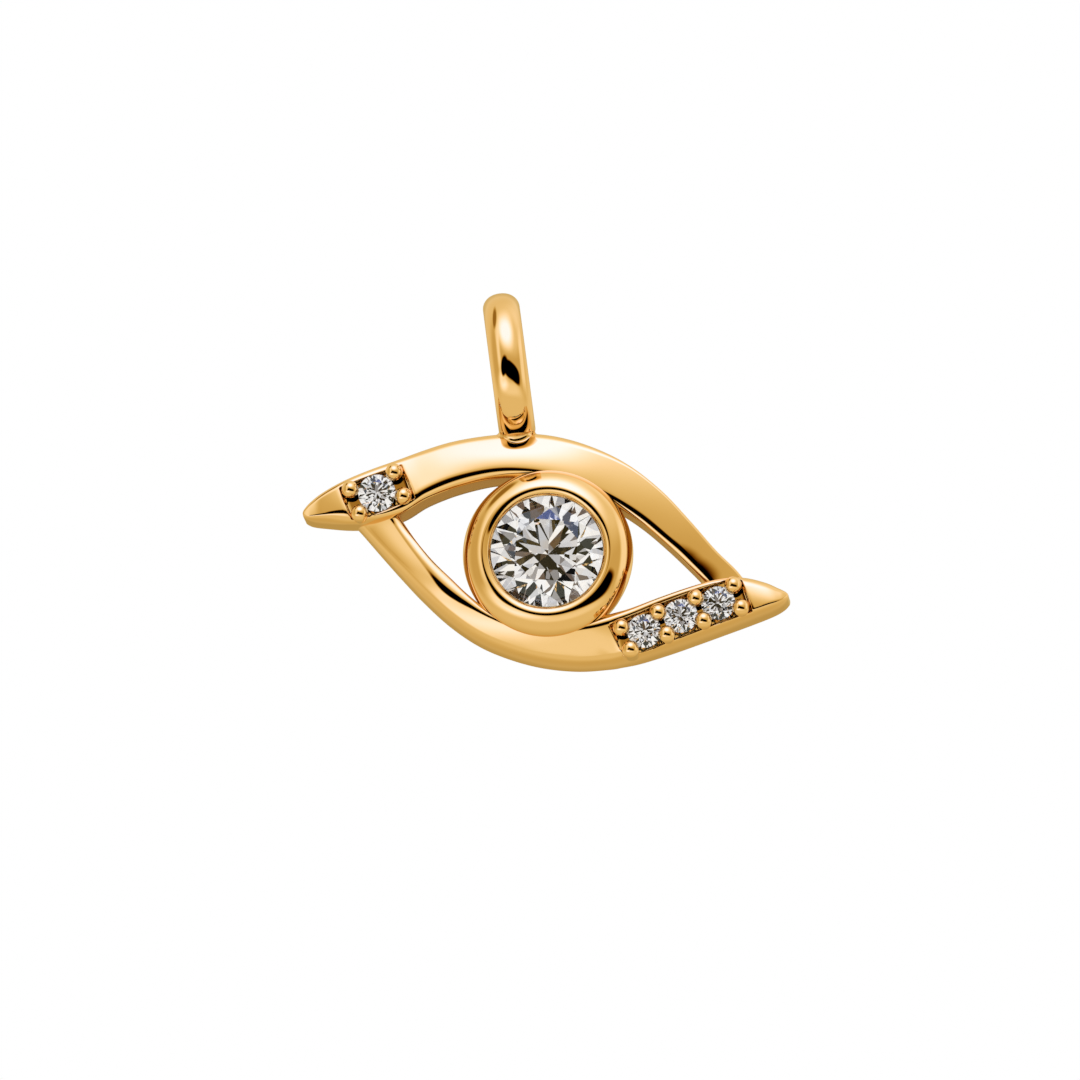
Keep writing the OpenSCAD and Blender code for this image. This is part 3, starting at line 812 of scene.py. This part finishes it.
def cut_stone(name, d, place, girdle_y, turn, material):
    """A brilliant cut from a round blank by one plane after another, with its table to -Y."""
    bm = bmesh.new()
    bmesh.ops.create_cone(bm, cap_ends=True, segments=96, radius1=d / 2, radius2=d / 2,
                          depth=1.3 * d)
    bmesh.ops.translate(bm, verts=bm.verts, vec=(0, 0, -0.15 * d))
    for point, normal in facet_planes(d / 2):
        bmesh.ops.bisect_plane(bm, geom=bm.verts[:] + bm.edges[:] + bm.faces[:], dist=1e-6,
                               plane_co=point, plane_no=normal, clear_outer=True)
        rim = [e for e in bm.edges if e.is_boundary]
        if rim:
            bmesh.ops.contextual_create(bm, geom=rim)
    bmesh.ops.remove_doubles(bm, verts=bm.verts, dist=1e-5)
    bmesh.ops.recalc_face_normals(bm, faces=bm.faces)
    bmesh.ops.rotate(bm, verts=bm.verts, matrix=Matrix.Rotation(math.radians(turn), 3, "Z"))
    bmesh.ops.rotate(bm, verts=bm.verts, matrix=Matrix.Rotation(math.radians(90), 3, "X"))
    bmesh.ops.translate(bm, verts=bm.verts,
                        vec=(EYE_CENTRE[0] + place[0], girdle_y, EYE_CENTRE[1] + place[1]))
    bmesh.ops.scale(bm, verts=bm.verts, vec=(MM, MM, MM))
    mesh = bpy.data.meshes.new(name)
    bm.to_mesh(mesh)
    bm.free()
    mesh.materials.append(material)
    obj = bpy.data.objects.new(name, mesh)
    bpy.context.scene.collection.objects.link(obj)
    return obj


def diamond():
    material = bpy.data.materials.new("diamond")
    material.use_nodes = True
    tree = material.node_tree
    tree.nodes.clear()
    paint = Wire(tree)
    place = paint.node("ShaderNodeTexCoord", out=3)
    cells = paint.node("ShaderNodeTexVoronoi", {}, {"Vector": place, "Scale": 2200.0}, 1)
    shade = paint.node("ShaderNodeSeparateColor", {}, {0: cells})
    tint = paint.node("ShaderNodeValToRGB", {"stops": [
        (0.0, (1.0, 1.0, 1.0, 1)),
        (0.7, (0.98, 0.99, 1.0, 1)),
        (0.82, (0.93, 0.96, 1.0, 1)),
        (0.92, (1.0, 0.96, 0.9, 1)),
    ]}, {0: shade})
    shader = paint.node("ShaderNodeBsdfPrincipled", {}, {
        "Base Color": tint,
        "Roughness": 0.0,
        "IOR": 2.42,
        "Transmission Weight": 1.0,
        "Specular Tint": (0.35, 0.42, 0.5, 1),
    })
    paint.node("ShaderNodeOutputMaterial", {}, {"Surface": shader})
    return material


brilliant = diamond()
# Columns: piece, diameter, place in the eye, depth of the girdle, turn, node, slot
for name, d, place, girdle_y, turn, node, slot in (
        ("centre_brilliant", 4.4, (0, 0), -1.13, 11, "centre_stone", "centre_stone"),
        ("left_brilliant", 1.42, (-6.12, 3.20), -0.96, 5, "left_accent_stone", "accent_stone"),
        ("right_brilliant_1", 1.28, (3.24, -3.46), -0.96, 0, "right_accent_stone_1", "accent_stone"),
        ("right_brilliant_2", 1.28, (4.68, -3.08), -0.96, 9, "right_accent_stone_2", "accent_stone"),
        ("right_brilliant_3", 1.28, (6.15, -2.79), -0.96, 17, "right_accent_stone_3", "accent_stone")):
    stone = cut_stone(name, d, place, girdle_y, turn, brilliant)
    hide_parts(node)
    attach(stone, "root")

# The studio. A pale floor well below the charm, a white room with soft boxes round it, which is
# painted on the world and not built, and a camera a little below the charm and to its right.
# The floor is kept out of the metal's and the stones' reflections.

VIEW_RIGHT = 2.5
VIEW_BELOW = 10.3
VIEW_TURN = 7.45
VIEW_WIDTH = 0.0409
VIEW_CENTRE = (-0.352, 0.667)
CAMERA_AWAY = 0.6
SENSOR_WIDTH = 36

floor_mesh = bpy.data.meshes.new("floor")
corners = [(-0.8, -0.8, -1.5), (0.8, -0.8, -1.5), (0.8, 0.8, -1.5), (-0.8, 0.8, -1.5)]
floor_mesh.from_pydata(corners, [], [(0, 1, 2, 3)])
paper = bpy.data.materials.new("white paper")
paper.use_nodes = True
paper_tree = paper.node_tree
paper_tree.nodes.clear()
paint = Wire(paper_tree)
fibre = paint.node("ShaderNodeTexNoise", {}, {"Vector": paint.node("ShaderNodeTexCoord", out=3),
                                              "Scale": 60.0, "Detail": 4.0})
paper_shader = paint.node("ShaderNodeBsdfPrincipled", {}, {
    "Base Color": fibre.blend((0.86, 0.86, 0.85, 1), (0.9, 0.9, 0.89, 1)),
    "Roughness": 0.8,
})
paint.node("ShaderNodeOutputMaterial", {}, {"Surface": paper_shader})
floor_mesh.materials.append(paper)
floor = bpy.data.objects.new("floor", floor_mesh)
bpy.context.scene.collection.objects.link(floor)
floor.visible_glossy = False
floor.visible_transmission = False

aside = math.radians(VIEW_RIGHT)
below = math.radians(VIEW_BELOW)
turned = math.radians(VIEW_TURN)
right = Vector((math.cos(aside), math.sin(aside), 0))
up = Vector((math.sin(aside) * math.sin(below), -math.cos(aside) * math.sin(below), math.cos(below)))
toward = Vector((math.sin(aside) * math.cos(below), -math.cos(aside) * math.cos(below),
                 -math.sin(below)))
across = right * math.cos(turned) - up * math.sin(turned)
above = right * math.sin(turned) + up * math.cos(turned)

world = bpy.data.worlds.new("studio")
bpy.context.scene.world = world
world.use_nodes = True
sky = world.node_tree
sky.nodes.clear()
air = Wire(sky)

# Where a mirror ball seen from the camera's place would show each direction of the room: to the
# right and up, from -1 to 1. The soft boxes are laid out on that disc and stay fixed in the room.
away = air.node("ShaderNodeTexCoord", out=0)
half_way = air.vector("NORMALIZE", air.vector("ADD", away, toward))
ball_x = air.vector("DOT_PRODUCT", half_way, across)
ball_y = air.vector("DOT_PRODUCT", half_way, above)


def soft_spot(x, y, half_width, half_height, edge, turn=0, corners=2):
    """1 in a round on the disc and 0 outside it, with a soft edge as a share of its size.

    With more than 2 for the corners it is squarer than an ellipse.
    """
    lean = math.radians(turn)
    u = (ball_x - x) * (math.cos(lean) / half_width) + (ball_y - y) * (math.sin(lean) / half_width)
    v = (ball_y - y) * (math.cos(lean) / half_height) - (ball_x - x) * (math.sin(lean) / half_height)
    reach = (u.maths("ABSOLUTE", u) ** corners + v.maths("ABSOLUTE", v) ** corners) ** (1 / corners)
    return 1 - reach.step_up(1 - edge, 1 + edge)


# An even wall that is brighter towards the disc's edge, tall strips to the left and right, a box
# overhead with a bright middle, and a wide box below with a strip and a small box in it.
from_middle = (ball_x * ball_x + ball_y * ball_y) ** 0.5
rim = from_middle.step_up(0.66, 0.86) * ball_y.step_up(-0.6, -0.2)
left_strip = soft_spot(-0.39, 0.2, 0.075, 0.27, 0.8, 0, 3)
right_strip = soft_spot(0.64, 0.12, 0.1, 0.28, 0.5, 0, 4)
low_strip = soft_spot(-0.02, -0.28, 0.42, 0.09, 0.5)
low_left = soft_spot(-0.3, -0.19, 0.2, 0.11, 0.6)
level = (0.65 + rim * 0.32
         + soft_spot(0.14, 0.51, 0.55, 0.29, 0.4) * 0.38
         + soft_spot(-0.01, 0.505, 0.27, 0.2, 0.6) * 0.95
         + soft_spot(0.0, -0.45, 0.75, 0.3, 0.5) * 0.26
         + left_strip * 0.65 + right_strip * 0.6 + low_strip * 0.25 + low_left * 0.6)

# The dark parts: the disc's very edge, the doorway before the charm, and two dark stands.
level = level * (1 - from_middle.step_up(0.94, 1.0) * 0.35)
level = level * (1 - soft_spot(0.1, -0.03, 0.34, 0.135, 0.13, -14, 3))
level = level * (1 - soft_spot(-0.19, 0.03, 0.19, 0.11, 0.15, 45))
level = level * (1 - soft_spot(-0.42, 0.61, 0.07, 0.17, 0.35, -32) * 0.75)

# Brighter parts of the room are also cooler, and its dark parts warmer.
metal_sees = air.node("ShaderNodeCombineXYZ", {}, {
    0: level ** 0.7 * 0.94, 1: level * 0.81, 2: level ** 1.8 * 0.47 + level ** 4.2 * 0.08})

# Light that has gone through a stone comes from plain white and dark parts of another painted
# room, and the camera itself sees plain white.
card = soft_spot(0.0, 0.1, 0.3, 0.3, 0.2)
parts = air.node("ShaderNodeTexNoise", {}, {"Vector": away, "Scale": 4.5, "Detail": 1.0})
stone_sees = air.node("ShaderNodeValToRGB", {"stops": [
    (0.0, (0.0, 0.0, 0.0, 1)),
    (0.385, (0.01, 0.01, 0.01, 1)),
    (0.4, (0.13, 0.08, 0.05, 1)),
    (0.42, (0.27, 0.26, 0.26, 1)),
    (0.455, (0.64, 0.65, 0.68, 1)),
    (0.51, (1.0, 1.0, 1.0, 1)),
]}, {0: parts - card * 0.08})
through = air.node("ShaderNodeLightPath", out=6)
glow = through.blend(metal_sees, stone_sees)
seen = air.node("ShaderNodeLightPath", out=0)
shown = air.node("ShaderNodeBackground", {}, {"Color": seen.blend(glow, (1, 1, 1, 1))})
air.node("ShaderNodeOutputWorld", {}, {"Surface": shown})

bpy.context.scene.view_settings.view_transform = "Standard"

aim = Vector((EYE_CENTRE[0], 0, EYE_CENTRE[1])) + across * VIEW_CENTRE[0] + above * VIEW_CENTRE[1]
spot = aim * MM + toward * CAMERA_AWAY
lens = bpy.data.cameras.new("camera")
lens.sensor_width = SENSOR_WIDTH
lens.lens = SENSOR_WIDTH * CAMERA_AWAY / VIEW_WIDTH
camera = bpy.data.objects.new("camera", lens)
camera.matrix_world = Matrix((
    (across.x, above.x, toward.x, spot.x),
    (across.y, above.y, toward.y, spot.y),
    (across.z, above.z, toward.z, spot.z),
    (0, 0, 0, 1)))
bpy.context.scene.collection.objects.link(camera)
bpy.context.scene.camera = camera
